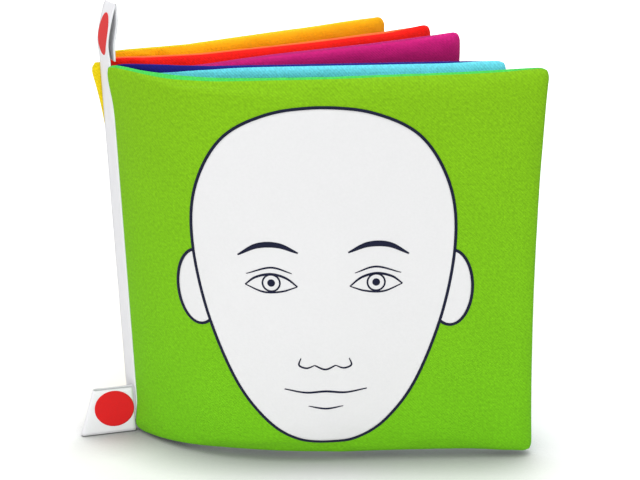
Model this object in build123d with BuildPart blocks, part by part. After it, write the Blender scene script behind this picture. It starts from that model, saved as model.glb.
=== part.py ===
from build123d import *

import os
from collections import namedtuple
from math import atan2, cos, radians, sin

# Driving dimensions of the leaves, in millimetres
leaf_height = 160
cover_width = 168
page_width = 164
leaf_thickness = 9
bound_thickness = 3.4
binding_gap = 0.8
fabric_thickness = 0.8
edge_roundness = 8
corner_pull = 4
padding_setback = 3

# How full a leaf is at its foot, and along its width as (share of the width, fullness)
foot_fullness = 0.3
tip_fullness = 0.84
swelling = ((0.12, 0.65), (0.27, 0.92), (0.6, 1), (1, tip_fullness))
tip_rounding = 0.8
edge_steps = 2

# Driving dimensions of the label tape along the spine
tape_width = 20
tape_thickness = 0.6
tape_clearance = 0.6
tape_foot = 3
loop_height = 21
loop_depth = 4
loop_lean = 3.5
loop_seat = 0.5
loop_bend = 1.9

# Driving dimensions of the tape's side tab and of the round marks
tab_length_above = 16.5
tab_length_below = 23
tab_height = 20.5
tab_foot = 0.5
tab_depth = 2
tab_bearing = 192
mark_diameter = 16
mark_thickness = 0.15
mark_on_tab = (8.4, 11.5)
mark_on_loop = 11

# Driving dimensions of the printed head on the front cover
print_depth = 0.3
head_centre = 85
head_foot = 9.5
head_height = 138
head_width = 102
ear_height = 31
ear_width = 17

# Bearings are seen from above: out of the spine's face, and across it from front to back
spine_turn = 22
leaf_pitch = bound_thickness + binding_gap


def polar(reach, bearing):
    """A step of that length in that direction, seen from above."""
    return Vector(reach * cos(radians(bearing)), reach * sin(radians(bearing)))


spine_out = polar(1, 180 + spine_turn)
across_spine = polar(1, 90 + spine_turn)

# Each leaf: its place in the spine, its width, how far its root reaches out towards the tape,
# its bends as (share of the width, bearing) and the names of its front and back panels
Leaf = namedtuple("Leaf", "name place width root_reach bends panels")
leaves = (
    Leaf(
        "front_cover",
        -2,
        cover_width,
        0,
        ((0.12, -40), (0.27, -30), (0.58, -16.5), (0.985, -9.7)),
        ("front_cover_outside", "front_cover_inside"),
    ),
    Leaf(
        "first_page",
        -1,
        page_width,
        tape_clearance,
        ((0.22, 9), (0.46, 6.4), (0.967, 1.4)),
        ("first_page_front", "first_page_back"),
    ),
    Leaf(
        "second_page",
        0,
        page_width,
        tape_clearance,
        ((0.5, 25), (1, 25.5)),
        ("second_page_front", "second_page_back"),
    ),
    Leaf(
        "third_page",
        1,
        page_width,
        tape_clearance,
        ((0.5, 33), (1, 33)),
        ("third_page_front", "third_page_back"),
    ),
    Leaf(
        "back_cover",
        2,
        cover_width,
        0,
        ((0.5, 46), (1, 45.2)),
        ("back_cover_inside", "back_cover_outside"),
    ),
)
front_cover = leaves[0]


def bent_line(points):
    """A smooth line through points seen from above: an arc through the first three, then tangent arcs."""
    with BuildLine() as line:
        arc = ThreePointArc(*points[:3])
        for start, end in zip(points[2:], points[3:]):
            arc = TangentArc(start, end, tangent=arc % 1)
    return line.wire()


def seam_line(leaf):
    """The curve that a leaf's middle follows on the table, from the spine to its free edge."""
    root = across_spine * leaf_pitch * leaf.place
    points = [root + spine_out * leaf.root_reach]
    for share, bearing in leaf.bends:
        points.append(root + polar(leaf.width * share, bearing))
    return bent_line(points)


def beside(seam, share, offset):
    """A point that far in front of the seam line, at that share of its length."""
    along = seam % share
    return (seam @ share) + Vector(along.Y, -along.X) * offset


def leaf_section(leaf, fullness=1, pull=0, skin=0):
    """A level slice of a leaf, as much smaller all round as the skin is thick."""
    seam = seam_line(leaf)
    full = (leaf_thickness / 2 - skin) * fullness
    bound = (bound_thickness / 2 - skin) * fullness
    start = padding_setback / leaf.width if skin else 0
    reach = 1 - (pull + skin) / leaf.width
    faces = []
    for side in (1, -1):
        points = [(seam @ start) - across_spine * side * bound]
        for share, swell in swelling:
            points.append(beside(seam, start + (reach - start) * share, side * full * swell))
        faces.append(bent_line(points))
    front, back = faces
    with BuildSketch() as section:
        with BuildLine():
            add(front)
            add(back)
            Line(front @ 0, back @ 0)
            Line(front @ 1, back @ 1)
        make_face()
        tips = section.vertices().sort_by_distance(seam @ reach)[:2]
        fillet(tips, full * tip_fullness * tip_rounding)
    return section.sketch


def rounded_edge(leaf, at_top):
    """A leaf's rounded bottom or top edge, lofted through level slices."""
    with BuildPart() as edge:
        for step in range(edge_steps + 1):
            turn = radians(90 * step / edge_steps)
            depth = edge_roundness * (1 - cos(turn))
            fullness = foot_fullness + (1 - foot_fullness) * sin(turn)
            with BuildSketch(Plane.XY.offset(leaf_height - depth if at_top else depth)):
                add(leaf_section(leaf, fullness, corner_pull * (1 - sin(turn))))
        loft(ruled=True)
    return edge.part


def upright_body(leaf, skin=0):
    """The stretch of a leaf between its rounded bottom and top edges."""
    with BuildPart() as body:
        with BuildSketch(Plane.XY.offset(edge_roundness)):
            add(leaf_section(leaf, skin=skin))
        extrude(amount=leaf_height - 2 * edge_roundness)
    return body.part


def leaf_form(leaf):
    """A whole padded leaf: upright faces between a rounded bottom and a rounded top edge."""
    body = upright_body(leaf)
    edges = [rounded_edge(leaf, False), rounded_edge(leaf, True)]
    with BuildPart() as form:
        add(body)
        add(edges)
    return form.part


def space_in_front(leaf):
    """All the room in front of a leaf's seam line, to part its two fabric panels."""
    seam = seam_line(leaf)
    overrun = leaf_thickness
    start = (seam @ 0) - (seam % 0) * overrun
    end = (seam @ 1) + (seam % 1) * overrun
    with BuildPart() as space:
        with BuildSketch(Plane.XY.offset(-overrun)):
            with BuildLine():
                add(seam)
                Polyline(
                    seam @ 1,
                    end,
                    beside(seam, 1, leaf.width / 2),
                    beside(seam, 0, leaf.width / 2),
                    start,
                    seam @ 0,
                )
            make_face()
        extrude(amount=leaf_height + 2 * overrun)
    return space.part


def print_outline():
    """The printed head with its ears, from the front: a round skull that narrows to the chin."""
    half_width = head_width / 2
    with BuildSketch() as outline:
        with BuildLine():
            Spline(
                (0, 0),
                (half_width * 0.68, head_height * 0.2),
                (half_width, head_height * 0.62),
                (0, head_height),
                tangents=((1, 0), (-1, 0)),
            )
            mirror(about=Plane.YZ)
        make_face()
        for side in (1, -1):
            with Locations((side * head_width * 0.485, head_height * 0.48)):
                Ellipse(ear_width / 2, ear_height / 2)
    return outline.sketch


def printed_field():
    """The light field of the print, let into the front cover's upright outer face."""
    wall = Plane(origin=(head_centre, 0, head_foot), x_dir=(1, 0, 0), z_dir=(0, -1, 0))
    skin = leaf_section(front_cover)
    core = leaf_section(front_cover, skin=print_depth)
    space = space_in_front(front_cover)
    head = print_outline()
    with BuildPart() as layer:
        with BuildSketch(Plane.XY.offset(edge_roundness)):
            add(skin)
            add(core, mode=Mode.SUBTRACT)
        extrude(amount=leaf_height - 2 * edge_roundness)
        add(space, mode=Mode.INTERSECT)
        with BuildSketch(wall):
            add(head)
        extrude(amount=leaf_height / 2, mode=Mode.INTERSECT)
    return layer.part


def spine_point(across, out, height=0):
    """A point by its distance across the spine, out of its face and above the table."""
    return across_spine * across + spine_out * out + Vector(0, 0, height)


def keep(part, name):
    """Labels a finished piece and writes it to a file of its own."""
    part.label = name
    export_step(part, f"parts/{name}.step")


os.makedirs("parts", exist_ok=True)

# The print: the light field of a head on the front cover
cover_print = printed_field()
keep(cover_print, "cover_print")

# The leaves: two fabric panels sewn together at their edges round a padding
for leaf in leaves:
    wadding = upright_body(leaf, fabric_thickness)
    keep(wadding, f"{leaf.name}_padding")
    form = leaf_form(leaf)
    space = space_in_front(leaf)
    for panel_name, mode in zip(leaf.panels, (Mode.INTERSECT, Mode.SUBTRACT)):
        with BuildPart() as panel:
            add(form)
            add(space, mode=mode)
            add(wadding, mode=Mode.SUBTRACT)
            if panel_name == "front_cover_outside":
                add(cover_print, mode=Mode.SUBTRACT)
        keep(panel.part, panel_name)

# The tape's side tab: a folded ply that stands out from the spine, its end cut on a slant
tape_middle = tape_clearance + tape_thickness / 2
tab_root = spine_point((tab_depth - tape_width) / 2, tape_middle + tab_depth / 2)
tab_along = polar(1, tab_bearing)
tab_reach = tab_length_below - tab_depth
tab_floor = Plane(tab_root + Vector(0, 0, tab_foot), x_dir=tab_along, z_dir=(0, 0, 1))
end_normal = tab_along * tab_height + Vector(0, 0, tab_length_below - tab_length_above)
with BuildPart() as tab:
    with BuildSketch(tab_floor):
        with Locations((tab_reach / 2, 0)):
            SlotCenterToCenter(tab_reach, tab_depth)
            SlotCenterToCenter(tab_reach, tab_depth - 2 * tape_thickness, mode=Mode.SUBTRACT)
    extrude(amount=tab_height)
    split(bisect_by=Plane(tab_floor.origin + tab_along * tab_reach, z_dir=end_normal), keep=Keep.BOTTOM)

# The label tape: a strip down the spine, carried up into a loop that folds back to the leaves
with BuildPart() as label_tape:
    with BuildSketch(Plane(origin=(0, 0, 0), x_dir=spine_out, z_dir=across_spine)):
        with BuildLine():
            FilletPolyline(
                (tape_middle, tape_foot),
                (tape_middle, leaf_height),
                (tape_middle - loop_lean, leaf_height + loop_height),
                (tape_middle - loop_lean - loop_depth, leaf_height + loop_height),
                (tape_middle - loop_depth, leaf_height + loop_seat),
                radius=loop_bend,
            )
        trace(line_width=tape_thickness)
    extrude(amount=tape_width / 2, both=True)
    add(tab.part)
keep(label_tape.part, "label_tape")

# The marks: one disc on the loop's outer ply and one on the tab's front ply
loop_angle = atan2(loop_lean, loop_height)
loop_normal = spine_out * cos(loop_angle) + Vector(0, 0, sin(loop_angle))
loop_face = spine_point(0, tape_middle - loop_lean * mark_on_loop / loop_height, leaf_height + mark_on_loop)
tab_normal = polar(1, tab_bearing + 90)
tab_face = tab_root + tab_along * mark_on_tab[0] + Vector(0, 0, mark_on_tab[1])
with BuildPart() as tape_marks:
    for place, normal in (
        (loop_face + loop_normal * tape_thickness / 2, loop_normal),
        (tab_face + tab_normal * tab_depth / 2, tab_normal),
    ):
        with BuildSketch(Plane(place, z_dir=normal)):
            Circle(mark_diameter / 2)
        extrude(amount=mark_thickness)
keep(tape_marks.part, "tape_marks")
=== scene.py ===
from collections import namedtuple
from math import atan2, cos, hypot, pi, radians, sin

import bpy
import numpy as np
from mathutils import Matrix, Vector
from mathutils.bvhtree import BVHTree


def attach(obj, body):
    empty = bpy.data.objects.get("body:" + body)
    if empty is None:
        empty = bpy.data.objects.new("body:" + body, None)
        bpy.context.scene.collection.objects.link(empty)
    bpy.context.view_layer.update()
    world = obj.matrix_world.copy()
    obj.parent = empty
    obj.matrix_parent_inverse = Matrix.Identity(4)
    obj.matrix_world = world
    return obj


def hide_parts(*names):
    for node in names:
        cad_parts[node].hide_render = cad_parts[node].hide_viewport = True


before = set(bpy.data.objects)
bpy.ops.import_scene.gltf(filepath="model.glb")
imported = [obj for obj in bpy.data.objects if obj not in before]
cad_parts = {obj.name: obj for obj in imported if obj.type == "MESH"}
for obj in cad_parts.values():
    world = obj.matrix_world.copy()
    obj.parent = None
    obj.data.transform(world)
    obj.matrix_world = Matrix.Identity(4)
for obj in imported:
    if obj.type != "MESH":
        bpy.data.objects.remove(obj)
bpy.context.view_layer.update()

# Lengths are in millimetres and become metres when a mesh is made. Angles are in degrees
MM = 0.001

# The leaves' driving dimensions, as in the solids. The swelling is as (share of the width, fullness)
leaf_height = 160
cover_width = 168
page_width = 164
leaf_thickness = 9
leaf_pitch = 4.2
root_clearance = 0.6
spine_turn = 22
swelling = ((0, 0.38), (0.12, 0.65), (0.27, 0.92), (0.6, 1), (1, 0.84))
swelling_steps = 200
swelling_blend = 17

# A panel's grid: rows over its edges, and rows between them
root_rows = 4
edge_rows = 9
rows_along = 61
rows_up = 56

# How a panel turns over its edges to the seam, and how deep and wide the seam's crease is
seam_angle = 72
tip_blend = 14
edge_round = 7.5
root_round = 1.6
crease_depth = 0.5
crease_reach = 26

# How a panel's outline is drawn: its corners, its free edge and where its upper edge sinks
corner_round = 5
side_pull = 1.6
side_pull_power = 8
dip_power = 0.7
sink_width = 52

# The front cover's root is drawn in beside the tape, and stands out as an ear at its upper and lower end
root_width = 18
root_recess = 0.9
root_ear = 1.6
ear_high = 22
ear_low = 16
ear_power = 1.4

# Puckers at the seams and ripples on the faces: their waves as (number, longest, shortest), and their height
wave_scale = 1.6 / 1.4
pucker_waves = (9, 17, 7)
pucker_reach = 9
seam_ripple = 0.3
face_waves = (7, 95, 38)
face_start = 30
face_ripple = 0.32
first_seed = 40

# The cloth simulation: its pressure and length, how far a point may travel, and over how many rows it sets in
cloth_pressure = 4
cloth_frames = 16
cloth_cap = 1.8
rows_to_free = 16
floor_gap = 0.1

# The label tape along the spine, its loop and its side tab
tape_width = 20
tape_thickness = 0.5
tape_columns = 9
tape_out = 0.9
tape_foot = 3
strip_rows = 60
loop_height = 22.5
loop_depth = 2.8
loop_lean = 3.5
tab_length_above = 16.5
tab_length_below = 23
tab_height = 20.5
tab_foot = 0.5
tab_depth = 2
tab_bearing = 192
tab_flare = 0.054
tab_rows = 14
ply_steps = 16
fold_steps = 9

# The round marks on the tape, with the shares of the radius where their rings lie
mark_diameter = 16.8
mark_on_tab = (8.4, 11.5)
mark_on_loop = 11
mark_lift = 0.12
mark_thickness = 0.08
mark_search = 4
mark_steps = 72
mark_rings = (0.2, 0.4, 0.6, 0.8, 0.94, 1)

# A corner of yellow fabric beside the tape: it widens and swells from its foot to its rounded upper corner
flap_drop = 1.5
flap_height = 44
flap_reach = 5.2
flap_foot_reach = 0.3
flap_power = 2.2
flap_corner = 0.12
flap_corner_cut = 0.7
flap_thickness = 1.6
flap_thin = 0.25
flap_swell = 0.88
flap_across = 10.4
flap_tuck = 0.3
flap_slant = 0.16
flap_rows = 24
flap_steps = 20

# The printed head: its place and size, and its outline as shares of half its width and of its height
head_centre = 85.3
head_foot = 9.5
head_height = 138
head_width = 102
head_shares = (
    (0.24, 0.012), (0.48, 0.075), (0.71, 0.2), (0.91, 0.41),
    (1, 0.62), (0.95, 0.78), (0.74, 0.915), (0.4, 0.982),
)
head_steps = 360
ear_height = 31
ear_width = 17
ear_across = 0.485
ear_up = 0.48
ear_steps = 80
field_rays = 420
field_rings = 44
field_lift = 0.1
field_thickness = 0.12
cover_search = 120

# The drawn lines as (points, width, taper). An eye's points are about its middle, across as shares of half
# its width, and are mirrored for the other eye. The other lines' points are above the head's foot, and those
# that cross the middle also say how many steps their curve takes from point to point
line_width = 1.15
fine_line = 0.75
line_lift = 0.22
line_thickness = 0.1
eye_across = 0.2
eye_half_width = head_width / 10
eye_lines = (
    (((-1, -1.2), (-0.55, 2.4), (0.0196, 3.9), (0.6, 2.6), (1, -0.4)), fine_line * 1.35, 0.5),
    (((-1, -1.2), (-0.4, -3.2), (0.3, -3.4), (1, -0.4)), fine_line, 0.5),
    (((-0.8, 4.2), (0, 6.6), (0.95, 4)), fine_line, 0.6),
    (((-1.05, 12.5), (-0.3, 15.6), (0.5, 15.4), (1.25, 11.6)), 2.3, 0.75),
)
iris_line = fine_line * 0.9
iris_radius = 3.4
iris_lift = 0.3
iris_steps = 32
pupil_radius = 1.5
pupil_steps = 28
nostril_line = (((9.6, 37.5), (10.4, 34.5), (7.4, 33.2), (4.2, 34.4)), fine_line, 0.5)
middle_lines = (
    (((-4.2, 34.4), (0, 32.6), (4.2, 34.4)), 10, fine_line, 0.3),
    (((-16.5, 24), (-8, 22.4), (0, 22.9), (8, 22.4), (16.5, 24)), 12, fine_line * 1.2, 0.5),
    (((-7, 16.4), (0, 15.2), (7, 16.4)), 10, fine_line, 0.6),
)

# Fabric colours as sRGB: at the top, lower down, and how far down the change takes. The lower colour is
# painted shade, darker lower down where the leaves shade each other
fabric_colours_and_shade = {
    "lime": ("80B814", "6EBC16", 160),
    "green": ("48CA54", "3FBE4C", 160),
    "cyan": ("72E0F4", "58D2EC", 25),
    "blue": ("17177D", "131368", 160),
    "magenta": ("D81E80", "980C58", 15),
    "rose": ("B51A6E", "A01560", 160),
    "red": ("FA1C12", "E01410", 20),
    "vermilion": ("FF6A32", "F05A28", 160),
    "orange": ("FCB404", "F07E06", 13),
    "yellow": ("E2CA14", "D8BE10", 160),
}
tape_colours = ("E4E4E8", "F2F2F5")
field_colour = "E2E2E3"
line_colour = "10142E"
mark_colour = "DC1C1E"

# The floor and the light in metres and watts. A lamp is as (name, place, size, power)
floor_size = 12
floor_grey = (0.8, 0.8, 0.8)
floor_glow = 0.28
glow_from = 0.25
glow_full = 1.3
shadow_reach = 0.025
shadow_depth = 1.15
world_light = 0.45
middle_of_book = (0.07, 0.02, 0.08)
lamps = (
    ("lamp_top", (0.1, 0.1, 1.3), 0.9, 11),
    ("lamp_left", (-0.6, -1.3, 0.22), 0.6, 6.2),
    ("lamp_back", (0.5, 1.5, 0.5), 0.8, 4.5),
    ("lamp_right", (0.2, -1.5, 0.22), 0.5, 5.8),
)

# The camera, in metres, degrees and radians
camera_place = (0.08423, -0.43358, 0.22375)
camera_tilt = 72
camera_roll = -0.02014
camera_lens = 60.505
camera_sensor = 36

# Each leaf repeats its solid, from its place in the spine to its bends as (share of the width, bearing).
# Then how its cloth differs:
# - how far it stands proud of the free edge, rises at the top and sinks at the root
# - how far its upper edge dips, and with which power of the width, where less than 1 is nearer the spine
# - where, how widely and how many degrees the seam rolls forward over the upper edge
# - how many degrees further back the seam lies round the free edge
# Last come the nodes and colours of its front and back panels
Leaf = namedtuple(
    "Leaf",
    "name body place width root_reach bends proud rise sink dip dip_lean seam_roll tip_turn front back",
)
leaves = (
    Leaf(
        name="front_cover", body="front_cover", place=-2, width=cover_width, root_reach=0,
        bends=((0.12, -40), (0.27, -30), (0.58, -16.5), (0.985, -9.7)),
        proud=6.2, rise=1.5, sink=0, dip=1.8, dip_lean=0.55, seam_roll=(34, 30, 12), tip_turn=8,
        front=("front_cover_outside", "lime"), back=("front_cover_inside", "green"),
    ),
    Leaf(
        name="first_page", body="pages", place=-1, width=page_width, root_reach=root_clearance,
        bends=((0.22, 9), (0.46, 6.4), (0.967, 1.4)),
        proud=2.4, rise=-0.7, sink=-0.4, dip=0.8, dip_lean=1, seam_roll=(0, 34, 50), tip_turn=28,
        front=("first_page_front", "cyan"), back=("first_page_back", "blue"),
    ),
    Leaf(
        name="second_page", body="pages", place=0, width=page_width, root_reach=root_clearance,
        bends=((0.5, 25), (1, 25.5)),
        proud=5.6, rise=1.6, sink=5, dip=1.8, dip_lean=1, seam_roll=(0, 30, -12), tip_turn=28,
        front=("second_page_front", "magenta"), back=("second_page_back", "rose"),
    ),
    Leaf(
        name="third_page", body="pages", place=1, width=page_width, root_reach=root_clearance,
        bends=((0.5, 33), (1, 33)),
        proud=6.6, rise=2, sink=0.6, dip=1.2, dip_lean=1, seam_roll=(60, 60, -4), tip_turn=28,
        front=("third_page_front", "red"), back=("third_page_back", "vermilion"),
    ),
    Leaf(
        name="back_cover", body="back_cover", place=2, width=cover_width, root_reach=0,
        bends=((0.5, 46), (1, 45.2)),
        proud=7.8, rise=2.2, sink=-0.6, dip=-0.8, dip_lean=1, seam_roll=(0, 30, 0), tip_turn=28,
        front=("back_cover_inside", "orange"), back=("back_cover_outside", "yellow"),
    ),
)


def polar(reach, bearing):
    """A step of that length in that direction, seen from above."""
    return np.array([reach * cos(radians(bearing)), reach * sin(radians(bearing))])


spine_out = polar(1, 180 + spine_turn)
across_spine = polar(1, 90 + spine_turn)


def spine_point(across, out, height):
    """A point by its distance across the spine, out of its face and above the floor."""
    return np.array([*(across_spine * across + spine_out * out), height])


def bearing_of(step):
    """The direction of a step, in radians."""
    return atan2(step[1], step[0])


def round_turn(count):
    """Evenly spaced angles once round, in radians."""
    return np.linspace(0, 2 * pi, count, endpoint=False)


def near(gap, reach):
    """1 where a gap is nothing, falling to 0 where it is as wide as the reach."""
    return np.clip(1 - gap / reach, 0, 1)


def evenly(line, count, endpoint=True):
    """Evenly spaced points along a line, and its length."""
    travel = np.concatenate([[0], np.cumsum(np.hypot(*np.diff(line, axis=0).T))])
    even = np.linspace(0, travel[-1], count, endpoint=endpoint)
    return np.stack([np.interp(even, travel, line[:, k]) for k in (0, 1)], axis=1), travel[-1]


def arc(start, heading, end, count=160):
    """Points on the arc that leaves a point in that heading and ends at another, and its last heading."""
    chord = end - start
    half_turn = (bearing_of(chord) - heading + pi) % (2 * pi) - pi
    share = np.linspace(0, 1, count)
    if abs(half_turn) > 1e-6:
        reach = np.sin(half_turn * share) / sin(half_turn)
    else:
        reach = share
    angle = heading + half_turn * share
    step = np.stack([np.cos(angle), np.sin(angle)], axis=1)
    return start + step * (reach * hypot(*chord))[:, None], heading + 2 * half_turn


def bent_line(points, count=600):
    """A smooth, evenly spaced line through points: an arc through the first three, then tangent arcs."""
    first, second, third = points[:3]
    heading = bearing_of(second - first) + bearing_of(third - first) - bearing_of(third - second)
    line, heading = arc(first, heading, third)
    for start, end in zip(points[2:], points[3:]):
        more, heading = arc(start, heading, end)
        line = np.concatenate([line, more[1:]])
    return evenly(line, count)


def smooth_curve(points, count=10, closed=False):
    """A Catmull-Rom curve through points, with that many steps from each point to the next."""
    points = [np.array(p, float) for p in points]
    if closed:
        ring = [points[-1], *points, points[0], points[1]]
    else:
        ring = [2 * points[0] - points[1], *points, 2 * points[-1] - points[-2]]
    line = []
    for a, b, c, d in zip(ring, ring[1:], ring[2:], ring[3:]):
        for t in np.linspace(0, 1, count, endpoint=False):
            quadratic = (2 * a - 5 * b + 4 * c - d) * t ** 2
            cubic = (3 * b - a - 3 * c + d) * t ** 3
            line.append((2 * b + (c - a) * t + quadratic + cubic) / 2)
    if not closed:
        line.append(points[-1])
    return np.array(line)


def waves(rng, count, longest, shortest):
    """A seeded gentle undulation over a plane, between about -1 and 1."""
    terms = []
    for _ in range(count):
        length = longest * (shortest / longest) ** rng.random()
        turn = rng.random() * 2 * pi
        terms.append((2 * pi / length * cos(turn), 2 * pi / length * sin(turn), rng.random() * 2 * pi))
    scale = wave_scale / count ** 0.5

    def height(x, z):
        return scale * sum(np.sin(a * x + b * z + c) for a, b, c in terms)

    return height


def numbered(rows, columns, first=0, closed=False):
    """The vertex numbers of a grid of points, with its rows closed into rings if asked."""
    index = first + np.arange(rows * columns).reshape(rows, columns)
    return np.concatenate([index, index[:, :1]], axis=1) if closed else index


def quads(index, flip=False):
    """The faces between the rows and columns of a grid of vertex numbers."""
    corners = np.stack([index[:-1, :-1], index[1:, :-1], index[1:, 1:], index[:-1, 1:]], axis=-1)
    corners = corners.reshape(-1, 4)
    return corners[:, ::-1] if flip else corners


def round_faces(rings, count):
    """The faces of a round sheet of points: a fan about its middle point and bands between its rings."""
    fan = [(0, 1 + k, 1 + (k + 1) % count) for k in range(count)]
    return fan + list(quads(numbered(rings, count, first=1, closed=True)))


def mesh_object(name, points, faces, flat=None):
    """A smooth-shaded mesh object from points in millimetres, with its flat coordinates as UVs."""
    mesh = bpy.data.meshes.new(name)
    places = [tuple(place) for place in np.asarray(points, float) * MM]
    mesh.from_pydata(places, [], [tuple(int(i) for i in face) for face in faces])
    mesh.polygons.foreach_set("use_smooth", [True] * len(mesh.polygons))
    if flat is not None:
        layer = mesh.uv_layers.new(name="cloth")
        corner_vertices = np.empty(len(mesh.loops), int)
        mesh.loops.foreach_get("vertex_index", corner_vertices)
        layer.data.foreach_set("uv", np.asarray(flat, float)[corner_vertices].ravel())
    mesh.update()
    piece = bpy.data.objects.new(name, mesh)
    bpy.context.collection.objects.link(piece)
    return piece


def thicken(piece, thickness):
    """Gives a thin piece that thickness, behind its face."""
    solid = piece.modifiers.new("thickness", "SOLIDIFY")
    solid.thickness = thickness * MM
    solid.offset = -1


def surface_of(piece):
    """A tree of a piece's finished surface, to lay other pieces on."""
    bpy.context.view_layer.update()
    return BVHTree.FromObject(piece, bpy.context.evaluated_depsgraph_get())


def colour(code):
    """A linear colour from its sRGB code."""
    parts = [int(code[k : k + 2], 16) / 255 for k in (0, 2, 4)]
    return tuple(c / 12.92 if c <= 0.04045 else ((c + 0.055) / 1.055) ** 2.4 for c in parts) + (1,)


class Nodes:
    """The node tree of a new material or world, built node by node."""

    def __init__(self, owner):
        self.owner = owner
        owner.use_nodes = True
        self.tree = owner.node_tree
        self.tree.nodes.clear()

    def add(self, kind, settings=None, **inputs):
        """A node with its settings and its inputs, each a value or another node's output."""
        node = self.tree.nodes.new(kind)
        for key, value in (settings or {}).items():
            setattr(node, key, value)
        for key, value in inputs.items():
            self.put(node, key.replace("_", " "), value)
        return node

    def put(self, node, socket, value):
        """Links another node's output to a socket, or sets the socket's value."""
        target = node.inputs[socket]
        if hasattr(value, "links"):
            self.tree.links.new(value, target)
        else:
            target.default_value = value

    def math(self, operation, a, b):
        """A sum, product or the like of two numbers."""
        node = self.add("ShaderNodeMath", {"operation": operation})
        self.put(node, 0, a)
        self.put(node, 1, b)
        return node.outputs[0]

    def mix(self, factor, a, b):
        """The first colour turning into the second as the factor goes from 0 to 1."""
        node = self.add("ShaderNodeMix", {"data_type": "RGBA"})
        for socket, value in ((0, factor), (6, a), (7, b)):
            self.put(node, socket, value)
        return node.outputs[2]

    def scaled(self, vector, factor):
        """A vector or colour times a factor."""
        node = self.add("ShaderNodeVectorMath", {"operation": "SCALE"}, Scale=factor)
        self.put(node, 0, vector)
        return node.outputs[0]

    def looked_at(self):
        """1 for what the camera sees, also in mirrors and through glass, and 0 for light on other things."""
        ray = self.add("ShaderNodeLightPath").outputs
        indirect = self.math("MAXIMUM", ray["Is Glossy Ray"], ray["Is Transmission Ray"])
        return self.math("MAXIMUM", ray["Is Camera Ray"], indirect)


def fabric(name, high, low, painted_shade_reach):
    """A knitted velour: fine diagonal rows, a speckled nap, and painted shade that darkens the colour towards
    the foot.
    """
    nodes = Nodes(bpy.data.materials.new(name))
    place = nodes.add("ShaderNodeTexCoord").outputs
    flat = place["UV"]
    height = nodes.add("ShaderNodeSeparateXYZ", Vector=place["Object"]).outputs["Z"]
    # Painted shade: the colour darkens from the top colour to the lower one over this reach below the upper
    # edge
    level = nodes.add("ShaderNodeMapRange", Value=height, From_Min=(leaf_height - painted_shade_reach) * MM,
                      From_Max=leaf_height * MM).outputs[0]
    rows = nodes.add("ShaderNodeTexWave", {"bands_direction": "DIAGONAL"}, Vector=flat, Scale=0.46,
                     Distortion=1.6, Detail=1.5, Detail_Scale=1.2).outputs["Fac"]
    cross = nodes.add("ShaderNodeTexWave", {"bands_direction": "Y"}, Vector=flat, Scale=0.26, Distortion=1.0,
                      Detail=1.0, Detail_Scale=1.5).outputs["Fac"]
    nap = nodes.add("ShaderNodeTexNoise", Vector=flat, Scale=0.85, Detail=3.0, Roughness=0.7).outputs["Fac"]
    patches = nodes.add("ShaderNodeTexNoise", Vector=flat, Scale=0.05, Detail=3.0,
                        Roughness=0.55).outputs["Fac"]
    speckle = nodes.add("ShaderNodeMapRange", Value=nap, From_Min=0.3, From_Max=0.7, To_Min=0.83,
                        To_Max=1.16).outputs[0]
    clouds = nodes.add("ShaderNodeMapRange", Value=patches, From_Min=0.3, From_Max=0.7, To_Min=0.98,
                       To_Max=1.02).outputs[0]
    ribs = nodes.add("ShaderNodeMapRange", Value=rows, To_Min=0.955, To_Max=1.04).outputs[0]
    shade = nodes.math("MULTIPLY", nodes.math("MULTIPLY", speckle, clouds), ribs)
    base = nodes.scaled(nodes.mix(level, colour(low), colour(high)), shade)
    fibres = nodes.math("ADD", nodes.math("MULTIPLY", cross, 0.2), nodes.math("MULTIPLY", nap, 0.7))
    relief = nodes.math("ADD", nodes.math("MULTIPLY", rows, 0.55), fibres)
    bump = nodes.add("ShaderNodeBump", Strength=0.45, Distance=0.00025, Height=relief).outputs[0]
    rough = nodes.add("ShaderNodeMapRange", Value=nap, To_Min=0.8, To_Max=0.98).outputs[0]
    sheen_tint = tuple(0.25 + 0.75 * c for c in colour(high)[:3]) + (1,)
    shader = nodes.add("ShaderNodeBsdfPrincipled", Base_Color=base, Roughness=rough, Normal=bump,
                       Specular_IOR_Level=0.15, Sheen_Weight=0.14, Sheen_Roughness=0.45,
                       Sheen_Tint=sheen_tint)
    nodes.add("ShaderNodeOutputMaterial", Surface=shader.outputs[0])
    return nodes.owner


def woven_tape():
    """A satin tape: fine cross ribs over a close weave, with a soft gloss."""
    nodes = Nodes(bpy.data.materials.new("satin_tape"))
    flat = nodes.add("ShaderNodeTexCoord").outputs["UV"]
    ribs = nodes.add("ShaderNodeTexWave", {"bands_direction": "Y"}, Vector=flat, Scale=0.5,
                     Distortion=0.4).outputs["Fac"]
    warp = nodes.add("ShaderNodeTexWave", {"bands_direction": "X"}, Vector=flat, Scale=0.7,
                     Distortion=0.3).outputs["Fac"]
    cloud = nodes.add("ShaderNodeTexNoise", Vector=flat, Scale=0.12, Detail=3.0).outputs["Fac"]
    base = nodes.mix(cloud, *(colour(code) for code in tape_colours))
    relief = nodes.math("ADD", nodes.math("MULTIPLY", ribs, 0.6), nodes.math("MULTIPLY", warp, 0.4))
    bump = nodes.add("ShaderNodeBump", Strength=0.25, Distance=0.0001, Height=relief).outputs[0]
    rough = nodes.add("ShaderNodeMapRange", Value=cloud, To_Min=0.5, To_Max=0.65).outputs[0]
    shader = nodes.add("ShaderNodeBsdfPrincipled", Base_Color=base, Roughness=rough, Normal=bump,
                       Specular_IOR_Level=0.35, Sheen_Weight=0.1)
    nodes.add("ShaderNodeOutputMaterial", Surface=shader.outputs[0])
    return nodes.owner


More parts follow.
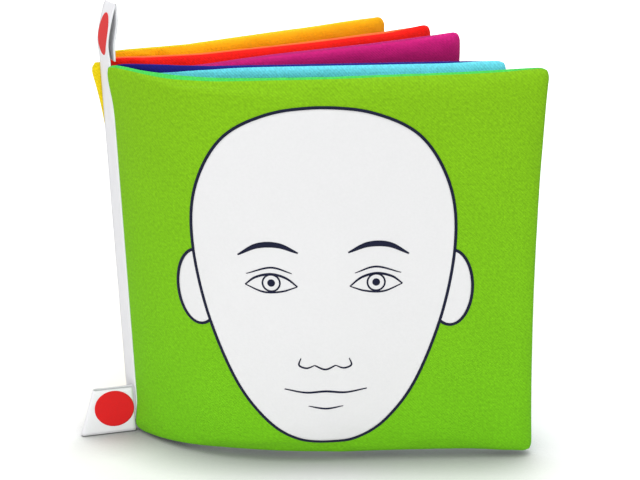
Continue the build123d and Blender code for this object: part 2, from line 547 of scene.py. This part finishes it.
def printed(name, code, spread):
    """Ink on cloth: an even colour broken a little by the weave below it."""
    nodes = Nodes(bpy.data.materials.new(name))
    solid = nodes.add("ShaderNodeTexCoord").outputs["Object"]
    weave = nodes.add("ShaderNodeTexNoise", Vector=solid, Scale=900.0, Detail=2.0,
                      Roughness=0.6).outputs["Fac"]
    cloud = nodes.add("ShaderNodeTexNoise", Vector=solid, Scale=40.0, Detail=2.0).outputs["Fac"]
    fine = nodes.math("MULTIPLY", weave, spread * 2)
    coarse = nodes.math("MULTIPLY", cloud, spread)
    shade = nodes.math("ADD", nodes.math("ADD", fine, coarse), 1 - spread * 1.5)
    base = nodes.scaled(colour(code)[:3], shade)
    bump = nodes.add("ShaderNodeBump", Strength=0.25, Distance=0.0001, Height=weave).outputs[0]
    rough = nodes.add("ShaderNodeMapRange", Value=weave, To_Min=0.7, To_Max=0.9).outputs[0]
    shader = nodes.add("ShaderNodeBsdfPrincipled", Base_Color=base, Roughness=rough, Normal=bump,
                       Specular_IOR_Level=0.2, Sheen_Weight=0.05)
    nodes.add("ShaderNodeOutputMaterial", Surface=shader.outputs[0])
    return nodes.owner


def dress(piece, material, body):
    """Gives a piece its material and slot, and lets it ride its body."""
    piece.data.materials.append(material)
    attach(piece, body)


def seam_of(leaf):
    """Evenly spaced points along a leaf's middle, from the spine to its cloth's free edge, and the length."""
    root = across_spine * leaf_pitch * leaf.place
    points = [root + spine_out * leaf.root_reach]
    points += [root + polar(leaf.width * share, bearing) for share, bearing in leaf.bends]
    seam, length = bent_line(points)
    ahead = (seam[-1] - seam[-2]) / np.linalg.norm(seam[-1] - seam[-2])
    step = length / (len(seam) - 1)
    steps_more = np.arange(1, int(leaf.proud / step) + 1)[:, None]
    seam = np.concatenate([seam, seam[-1] + ahead * step * steps_more])
    return seam, step * (len(seam) - 1)


def edge_axis(length, near_round, far_round, near_rows, middle_rows, far_rows, near_limit, far_limit):
    """Places along one side of a panel, from seam to seam, with how far each has turned over the edge."""
    near_turns = np.linspace(near_limit, 0, near_rows + 1)
    far_turns = np.linspace(0, far_limit, far_rows + 1)
    middle = np.linspace(near_round, length - far_round, middle_rows + 1)[1:-1]

    def drop(turned, limit):
        crease = crease_depth / edge_round * np.exp(-((limit - turned) / radians(crease_reach)) ** 2)
        return 1 - np.sin(turned) * (1 - crease)

    near_places = near_round * drop(near_turns, near_limit)
    far_places = length - far_round * drop(far_turns, far_limit)
    place = np.concatenate([near_places, middle, far_places])
    return place, np.concatenate([near_turns, middle * 0, far_turns])


def flat_grid(leaf, is_front, length):
    """A panel laid flat: each point's place along and up the leaf, how far it has turned over an edge,
    and how far it would turn at the seam."""

    def limit(angle):
        """How far a panel turns over an edge whose seam is at that angle from the front face."""
        return np.radians(angle if is_front else 180 - angle)

    along, turned_along = edge_axis(length, root_round, edge_round, root_rows, rows_along, edge_rows,
                                    limit(seam_angle), limit(seam_angle + leaf.tip_turn))
    roll_place, roll_width, roll = leaf.seam_roll
    lower = seam_angle + leaf.tip_turn * np.exp(-((length - along) / tip_blend) ** 2)
    upper = lower - roll * np.exp(-((along - roll_place) / roll_width) ** 2)
    sides = [
        edge_axis(leaf_height, edge_round, edge_round, edge_rows, rows_up, edge_rows, limit(low), limit(high))
        for low, high in zip(lower, upper)
    ]
    z, turned_up = (np.array(part) for part in zip(*sides))
    x = np.repeat(along[:, None], z.shape[1], axis=1)
    turned_along = np.repeat(turned_along[:, None], z.shape[1], axis=1)
    limits = np.where(z > leaf_height / 2, limit(upper)[:, None], limit(lower)[:, None])
    turned = np.minimum((turned_along ** 3 + turned_up ** 3) ** (1 / 3), limits)
    return x, z, turned, limits


def drawn_outline(leaf, x, z, length):
    """A flat panel's places with rounded corners, a sunk and dipped upper edge and a pulled-in free edge."""
    for corner_z, way_z in ((0, 1), (leaf_height, -1)):
        b = near(np.abs(z - corner_z), corner_round)
        for gap, way_x in ((length - x, 1), (x, -1)):
            a = near(gap, corner_round)
            x = x + corner_round * a * (np.sqrt(1 - b ** 2 / 2) - 1) * way_x
            z = z + corner_round * b * (1 - np.sqrt(1 - a ** 2 / 2)) * way_z
    share = np.clip(x / length, 0, 1)
    bow = np.sin(pi * share ** leaf.dip_lean) ** dip_power
    sunk = leaf.sink * np.exp(-(x / sink_width) ** 2)
    z = z * (1 + (leaf.rise - sunk - leaf.dip * bow) / leaf_height)
    x = x - side_pull * np.sin(pi * np.clip(z / leaf_height, 0, 1)) * share ** side_pull_power
    return x, z


def half_thickness(share):
    """Half a leaf's thickness at shares of its length: the swelling, smoothed."""
    stations = np.linspace(0, 1, swelling_steps)
    profile = np.pad(np.interp(stations, *zip(*swelling)), swelling_blend // 2, mode="edge")
    profile = np.convolve(profile, np.ones(swelling_blend) / swelling_blend, mode="valid")
    return leaf_thickness / 2 * np.interp(share, stations, profile)


def drawn_in(x, z):
    """How far the front cover's root is drawn in behind the tape, less than nothing at its ears."""
    ears = np.maximum(near(leaf_height - z, ear_high), near(z, ear_low)) ** ear_power
    return (root_recess - (root_recess + root_ear) * ears) * near(x, root_width) ** 2


def panel_grid(leaf, is_front, rng):
    """One fabric panel of a leaf as a grid of points, with its flat coordinates."""
    seam, length = seam_of(leaf)
    x, z, turned, limits = flat_grid(leaf, is_front, length)
    x, z = drawn_outline(leaf, x, z, length)

    # Puckers run in from the seams, and a slow ripple runs over the faces
    edge_gap = np.minimum(np.minimum(z, leaf_height - z), length - x)
    open_face = (1 - turned / limits) ** 0.5
    puckers = waves(rng, *pucker_waves)(x, z) * np.exp(-np.clip(edge_gap, 0, None) / pucker_reach)
    ripple = waves(rng, *face_waves)(x, z) * np.clip(x / face_start, 0, 1)
    relief = (seam_ripple * puckers + face_ripple * ripple) * open_face
    depth = half_thickness(np.clip(x / length, 0, 1)) * np.cos(turned) + relief

    # The flat panel is bent along the leaf's seam line and set off to its own side of it
    place = x / length * (len(seam) - 1)
    index = np.clip(place.astype(int), 0, len(seam) - 2)
    step = seam[index + 1] - seam[index]
    base = seam[index] + step * (place - index)[..., None]
    step = step / np.linalg.norm(step, axis=-1, keepdims=True)
    out = np.stack([step[..., 1], -step[..., 0]], axis=-1)
    base = base + out * ((1 if is_front else -1) * depth)[..., None]
    if leaf.name == "front_cover":
        base = base - spine_out * drawn_in(x, z)[..., None]
    return np.concatenate([base, z[..., None]], axis=-1), np.stack([x, z], axis=-1)


def blown_up(bag, held_points):
    """How far a cloth simulation with pressure moves each point of a closed bag, in millimetres."""
    held = bag.vertex_groups.new(name="held")
    held.add([int(k) for k in held_points], 1.0, "REPLACE")
    cloth = bag.modifiers.new("cloth", "CLOTH")
    settings = cloth.settings
    settings.quality = 4
    settings.mass = 0.05
    settings.tension_stiffness = settings.compression_stiffness = 12
    settings.shear_stiffness = 4
    settings.bending_stiffness = 0.4
    settings.use_pressure = True
    settings.uniform_pressure_force = cloth_pressure
    settings.vertex_group_mass = "held"
    settings.effector_weights.gravity = 0
    cloth.collision_settings.use_collision = False
    cloth.point_cache.frame_end = cloth_frames
    start = np.array([v.co for v in bag.data.vertices])
    scene = bpy.context.scene
    for number in range(1, cloth_frames + 1):
        scene.frame_set(number)
    seen = bag.evaluated_get(bpy.context.evaluated_depsgraph_get())
    ended = np.array([v.co for v in seen.data.vertices])
    scene.frame_set(1)
    bpy.data.objects.remove(bag)
    return (ended - start) / MM


def inflated(leaf, front, back):
    """Both panels sewn together and blown up by a cloth simulation, with each point's travel held short.
    The simulation runs on every second row and column, and its travel is spread over the ones between."""
    coarse = front[::2, ::2], back[::2, ::2]
    rows, columns = coarse[0].shape[:2]
    index = numbered(rows, columns)
    behind = index.copy()
    behind[1:-1, 1:-1] = numbered(rows - 2, columns - 2, first=rows * columns)
    start = np.concatenate([coarse[0].reshape(-1, 3), coarse[1][1:-1, 1:-1].reshape(-1, 3)])
    bag = mesh_object(leaf.name + "_bag", start, np.concatenate([quads(index), quads(behind, flip=True)]))
    moved = blown_up(bag, np.concatenate([index[:root_rows], behind[:root_rows]]).ravel())
    travel = np.linalg.norm(moved, axis=1, keepdims=True)
    moved = moved * cloth_cap * np.tanh(travel / cloth_cap) / np.maximum(travel, 1e-6)
    grown = []
    for grid, places in ((front, index), (back, behind)):
        fine = np.zeros_like(grid)
        fine[::2, ::2] = moved[places]
        fine[1::2, ::2] = (fine[:-2:2, ::2] + fine[2::2, ::2]) / 2
        fine[:, 1::2] = (fine[:, :-2:2] + fine[:, 2::2]) / 2
        freed = np.clip((np.arange(len(grid)) - root_rows) / rows_to_free, 0, 1)
        grid = grid + fine * freed[:, None, None]
        grid[..., 2] = np.maximum(grid[..., 2], floor_gap)
        grown.append(grid)
    return grown


# The leaves: a front and a back panel that meet along one seam
panels = {}
for number, leaf in enumerate(leaves):
    rng = np.random.default_rng(first_seed + number)
    front, flat_front = panel_grid(leaf, True, rng)
    back, flat_back = panel_grid(leaf, False, rng)
    rim = np.ones(front.shape[:2], bool)
    rim[1:-1, 1:-1] = False
    back[rim] = front[rim]
    front, back = inflated(leaf, front, back)
    for grid, flat, is_front, (node, shade) in (
        (front, flat_front, True, leaf.front),
        (back, flat_back, False, leaf.back),
    ):
        faces = quads(numbered(*grid.shape[:2]), flip=not is_front)
        piece = mesh_object(node + "_cloth", grid.reshape(-1, 3), faces, flat.reshape(-1, 2))
        smoothing = piece.modifiers.new("smooth", "SUBSURF")
        smoothing.levels = smoothing.render_levels = 1
        dress(piece, fabric(shade + "_velour", *fabric_colours_and_shade[shade]), leaf.body)
        if is_front:
            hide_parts(node, leaf.name + "_padding")
        else:
            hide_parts(node)
        panels[shade] = piece

lime_surface = surface_of(panels["lime"])


def on_cover(x, z, lift):
    """The point of the front cover's face at that place of the print, lifted a little off it."""
    start = Vector(((head_centre + x) * MM, -cover_search * MM, (head_foot + z) * MM))
    hit, normal, _, _ = lime_surface.ray_cast(start, Vector((0, 1, 0)))
    if normal.y > 0:
        normal = -normal
    return np.array(hit / MM) + np.array(normal) * lift


def head_outline():
    """The head's outline without ears, from its foot: a round skull that narrows to the chin."""
    right = [(head_width / 2 * across, head_height * up) for across, up in head_shares]
    left = [(-x, z) for x, z in right[::-1]]
    loop = smooth_curve([(0, 0), *right, (0, head_height), *left], 40, closed=True)
    return evenly(np.vstack([loop, loop[:1]]), head_steps, endpoint=False)[0]


def ear_outline(side):
    """The oval of the ear on that side."""
    angle = round_turn(ear_steps)
    across = side * (head_width * ear_across + ear_width / 2 * np.cos(angle))
    return np.stack([across, head_height * ear_up + ear_height / 2 * np.sin(angle)], axis=1)


def inside(point, loop):
    """Whether a point of the drawing lies inside a closed outline."""
    x, z = point
    a, b = loop, np.roll(loop, -1, axis=0)
    crosses = (a[:, 1] > z) != (b[:, 1] > z)
    reach = a[:, 0] + (z - a[:, 1]) / np.where(crosses, b[:, 1] - a[:, 1], 1) * (b[:, 0] - a[:, 0])
    return bool(np.sum(crosses & (x < reach)) % 2)


def reach_of(loop, centre, angle):
    """How far a closed outline reaches from a centre in that direction."""
    step = np.array([cos(angle), sin(angle)])
    a = loop - centre
    b = np.roll(loop, -1, axis=0) - centre
    edge = b - a
    cross = step[0] * edge[:, 1] - step[1] * edge[:, 0]
    cross = np.where(np.abs(cross) < 1e-9, 1e-9, cross)
    along = (a[:, 0] * edge[:, 1] - a[:, 1] * edge[:, 0]) / cross
    share = (a[:, 0] * step[1] - a[:, 1] * step[0]) / cross
    hits = along[(share >= -1e-6) & (share <= 1 + 1e-6) & (along > 0)]
    return hits.max() if len(hits) else 0.0


def ribbon(line, width, taper=0.0, closed=False):
    """A drawn line laid on the cover: points and faces of a narrow strip, tapered towards its ends."""
    if closed:
        step = np.roll(line, -1, axis=0) - np.roll(line, 1, axis=0)
    else:
        step = np.gradient(line, axis=0)
    step = step / np.linalg.norm(step, axis=1, keepdims=True)
    side = np.stack([-step[:, 1], step[:, 0]], axis=1)
    half = width / 2 * (1 - taper * np.linspace(-1, 1, len(line)) ** 2)
    points = []
    for place, across, reach in zip(line, side, half):
        points.append(on_cover(*(place + across * reach), line_lift))
        points.append(on_cover(*(place - across * reach), line_lift))
    index = numbered(len(line), 2)
    if closed:
        index = np.concatenate([index, index[:1]])
    return points, [(a, b, d, c) for (a, b), (c, d) in zip(index, index[1:])]


def spot(middle, radius):
    """A filled round spot laid on the cover."""
    points = [on_cover(*middle, line_lift)]
    points += [on_cover(middle[0] + radius * cos(a), middle[1] + radius * sin(a), line_lift)
               for a in round_turn(pupil_steps)]
    return points, round_faces(1, pupil_steps)


def join(parts):
    """Several sets of points and faces as one."""
    points, faces = [], []
    for more, polygons in parts:
        offset = len(points)
        points.extend(more)
        faces.extend(tuple(i + offset for i in face) for face in polygons)
    return points, faces


# The print: a light field in the shape of a head with its ears
head = head_outline()
ears = {side: ear_outline(side) for side in (1, -1)}
centre = np.array([0, head_height * ear_up])
points = [on_cover(*centre, field_lift)]
rays = round_turn(field_rays)
reaches = [max(reach_of(loop, centre, a) for loop in (head, *ears.values())) for a in rays]
for ring in range(1, field_rings + 1):
    for a, reach in zip(rays, reaches):
        place = centre + np.array([cos(a), sin(a)]) * reach * ring / field_rings
        points.append(on_cover(*place, field_lift))
field = mesh_object("print_field", points, round_faces(field_rings, field_rays))
thicken(field, field_thickness)
dress(field, printed("field_ink", field_colour, spread=0.03), "front_cover")
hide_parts("cover_print")

# The drawn lines: outlines, brows, eyes, nose and mouth on even proportions
lines = [ribbon(head, line_width, closed=True)]
for side in (1, -1):
    shown = [p for p in ears[side] if not inside(p, head)]
    start = max(range(len(shown)), key=lambda k: np.linalg.norm(shown[k] - shown[k - 1]))
    lines.append(ribbon(np.array(shown[start:] + shown[:start]), line_width))
    middle = np.array([side * head_width * eye_across, head_height / 2])
    for shape, width, taper in eye_lines:
        curve = [middle + np.array([side * across * eye_half_width, up]) for across, up in shape]
        lines.append(ribbon(smooth_curve(curve), width, taper))
    iris = middle + np.array([0, iris_lift])
    angle = round_turn(iris_steps)
    circle = iris + iris_radius * np.stack([np.cos(angle), np.sin(angle)], axis=1)
    lines.append(ribbon(circle, iris_line, closed=True))
    lines.append(spot(iris, pupil_radius))
    shape, width, taper = nostril_line
    lines.append(ribbon(smooth_curve([(side * x, z) for x, z in shape]), width, taper))
for shape, steps, width, taper in middle_lines:
    lines.append(ribbon(smooth_curve(shape, steps), width, taper))
drawing = mesh_object("print_lines", *join(lines))
thicken(drawing, line_thickness)
dress(drawing, printed("line_ink", line_colour, spread=0.1), "front_cover")

# The tape: a strip down the spine, carried up into a loop. Places are (out of the spine, above the floor)
strip_path = [(tape_out, z) for z in np.linspace(tape_foot, leaf_height - 6, strip_rows)]
loop_path = smooth_curve([
    (tape_out, leaf_height - 5),
    (tape_out, leaf_height + 1),
    (tape_out + 0.3, leaf_height + loop_height * 0.35),
    (tape_out - loop_lean * 0.4, leaf_height + loop_height * 0.7),
    (tape_out - loop_lean * 1.05, leaf_height + loop_height),
    (tape_out - loop_lean * 1.05 - 0.9, leaf_height + loop_height + 0.1),
    (tape_out - loop_lean * 1.3, leaf_height + loop_height * 0.7),
    (tape_out - loop_depth * 1.05, leaf_height + loop_height * 0.35),
    (tape_out - loop_depth * 0.9, leaf_height + 1.2),
])
path = np.array([spine_point(0, out, z) for out, z in [*strip_path, *loop_path]])
travel = np.concatenate([[0], np.cumsum(np.linalg.norm(np.diff(path, axis=0), axis=1))])
offsets = np.linspace(-tape_width / 2, tape_width / 2, tape_columns)
points = [place + np.array([*across_spine, 0]) * offset for place in path for offset in offsets]
flat = [(offset, t) for t in travel for offset in offsets]
strip = mesh_object("spine_tape", points, quads(numbered(len(path), tape_columns)), flat)
thicken(strip, tape_thickness)
dress(strip, woven_tape(), "pages")
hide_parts("label_tape")

# The side tab: a folded ply that stands out from the spine, its end cut on a slant
tab_along = polar(1, tab_bearing)
tab_side = polar(1, tab_bearing + 90)
tab_root = across_spine * (tab_depth - tape_width) / 2 + spine_out * (tape_out + tab_depth / 2)
points, flat = [], []
for row in range(tab_rows + 1):
    z = tab_height * row / tab_rows
    end = tab_length_below + (tab_length_above - tab_length_below) * z / tab_height - tab_depth / 2
    plies = [(x, 1) for x in np.linspace(0, end, ply_steps)]
    plies += [(end + tab_depth / 2 * cos(a), -sin(a)) for a in np.linspace(-pi / 2, pi / 2, fold_steps)[1:-1]]
    plies += [(x, -1) for x in np.linspace(end, 0, ply_steps)]
    travel, last = 0, None
    for x, side in plies:
        spread = 1 + tab_flare * sin(pi * z / tab_height) * sin(pi * min(x / end, 1))
        place = tab_root + tab_along * x + tab_side * side * tab_depth / 2 * spread
        if last is not None:
            travel += np.linalg.norm(place - last)
        last = place
        points.append((*place, tab_foot + z))
        flat.append((z, travel))
tab = mesh_object("side_tab", points, quads(numbered(tab_rows + 1, len(plies)), flip=True), flat)
thicken(tab, tape_thickness)
dress(tab, woven_tape(), "pages")
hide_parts("label_tape")


def round_mark(name, tape, middle, normal, up):
    """A plain round mark printed on the tape, laid on its surface."""
    surface = surface_of(tape)
    normal, up = (np.array(v) / np.linalg.norm(v) for v in (normal, up))
    right = np.cross(up, normal)

    def laid(place):
        start = Vector((place + normal * mark_search) * MM)
        hit, _, _, _ = surface.ray_cast(start, Vector(-normal), 3 * mark_search * MM)
        return (np.array(hit / MM) if hit else place) + normal * mark_lift

    points = [laid(middle)]
    for share in mark_rings:
        radius = mark_diameter / 2 * share
        points += [laid(middle + radius * (right * cos(a) + up * sin(a))) for a in round_turn(mark_steps)]
    piece = mesh_object(name, points, round_faces(len(mark_rings), mark_steps))
    thicken(piece, mark_thickness)
    dress(piece, printed(name + "_ink", mark_colour, spread=0.06), "pages")
    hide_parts("tape_marks")


# The marks: one disc on the loop's outer ply and one on the tab's front ply
loop_angle = atan2(loop_lean, loop_height)
loop_normal = [*(spine_out * cos(loop_angle)), sin(loop_angle)]
loop_up = [*(-spine_out * sin(loop_angle)), cos(loop_angle)]
loop_middle = spine_point(0, tape_out - loop_lean * mark_on_loop / loop_height, leaf_height + mark_on_loop)
round_mark("loop_mark", strip, loop_middle, loop_normal, loop_up)
tab_face = tab_root + tab_along * mark_on_tab[0] + tab_side * tab_depth / 2
round_mark("tab_mark", tab, np.array([*tab_face, tab_foot + mark_on_tab[1]]), [*tab_side, 0], [0, 0, 1])

# A corner of the back cover's outer fabric stands out beside the tape at its upper end
points = []
for share in np.linspace(0, 1, flap_rows + 1):
    z = leaf_height - flap_drop - flap_height * (1 - share)
    cut = max(0, (share - 1 + flap_corner) / flap_corner)
    reach = (flap_foot_reach + flap_reach * share ** flap_power) * (1 - flap_corner_cut * cut ** 2) ** 0.5
    fullness = flap_thin + (1 - flap_thin) * sin(pi * flap_swell * (1 - share)) ** 0.5
    for a in round_turn(flap_steps):
        out = reach * (1 + cos(a)) / 2 - flap_tuck
        across = flap_across + flap_thickness / 2 * fullness * (1 + sin(a)) + flap_slant * out
        points.append(spine_point(across, out, z))
rings = numbered(flap_rows + 1, flap_steps)
faces = [*quads(numbered(flap_rows + 1, flap_steps, closed=True), flip=True), rings[0][::-1], rings[-1]]
flap = mesh_object("spine_ear", points, faces, [(x, z) for x, _, z in points])
dress(flap, fabric("yellow_ear_velour", *fabric_colours_and_shade["yellow"]), "pages")

# The floor: a pale plane that shows white where the light reaches it, with the lamps' shadow and a painted
# shadow that darkens it near the book
bpy.ops.mesh.primitive_plane_add(size=floor_size, location=(0, 0, 0))
floor = bpy.context.object
floor.name = "floor"
nodes = Nodes(bpy.data.materials.new("floor"))
# Painted shadow: an occlusion node darkens the floor's colour and its glow near the book
painted_shadow = nodes.add("ShaderNodeAmbientOcclusion", {"samples": 8}, Distance=shadow_reach).outputs["AO"]
painted_shadow = nodes.math("POWER", painted_shadow, shadow_depth)
diffuse = nodes.add("ShaderNodeBsdfDiffuse", Color=nodes.scaled(floor_grey, painted_shadow))
distance = nodes.add("ShaderNodeVectorMath", {"operation": "LENGTH"})
nodes.put(distance, 0, nodes.add("ShaderNodeTexCoord").outputs["Object"])
level = nodes.add("ShaderNodeMapRange", Value=distance.outputs["Value"], From_Min=glow_from,
                  From_Max=glow_full, To_Min=floor_glow, To_Max=1.0).outputs[0]
strength = nodes.math("MULTIPLY", nodes.math("MULTIPLY", nodes.looked_at(), level), painted_shadow)
glow = nodes.add("ShaderNodeEmission", Color=(1, 1, 1, 1), Strength=strength)
both = nodes.add("ShaderNodeAddShader")
nodes.put(both, 0, diffuse.outputs[0])
nodes.put(both, 1, glow.outputs[0])
nodes.add("ShaderNodeOutputMaterial", Surface=both.outputs[0])
floor.data.materials.append(nodes.owner)

# The light: a world that looks white and lights the book less, and square soft lamps that face the book
world = bpy.data.worlds.new("studio")
bpy.context.scene.world = world
nodes = Nodes(world)
strength = nodes.add("ShaderNodeMapRange", Value=nodes.looked_at(), To_Min=world_light, To_Max=1.0).outputs[0]
background = nodes.add("ShaderNodeBackground", Color=(1, 1, 1, 1), Strength=strength)
nodes.add("ShaderNodeOutputWorld", Surface=background.outputs[0])
for name, place, size, power in lamps:
    lamp = bpy.data.lights.new(name, "AREA")
    lamp.shape = "SQUARE"
    lamp.size = size
    lamp.energy = power
    item = bpy.data.objects.new(name, lamp)
    item.location = place
    item.rotation_euler = (Vector(middle_of_book) - Vector(place)).to_track_quat("-Z", "Y").to_euler()
    bpy.context.collection.objects.link(item)

# The camera stands where the photograph was taken from
camera_data = bpy.data.cameras.new("camera")
camera_data.sensor_width = camera_sensor
camera_data.lens = camera_lens
camera_data.clip_start = 0.01
camera = bpy.data.objects.new("camera", camera_data)
turned = Matrix.Rotation(radians(camera_tilt), 4, "X") @ Matrix.Rotation(camera_roll, 4, "Z")
camera.matrix_world = Matrix.Translation(camera_place) @ turned
bpy.context.collection.objects.link(camera)
bpy.context.scene.camera = camera
bpy.context.scene.view_settings.view_transform = "Standard"
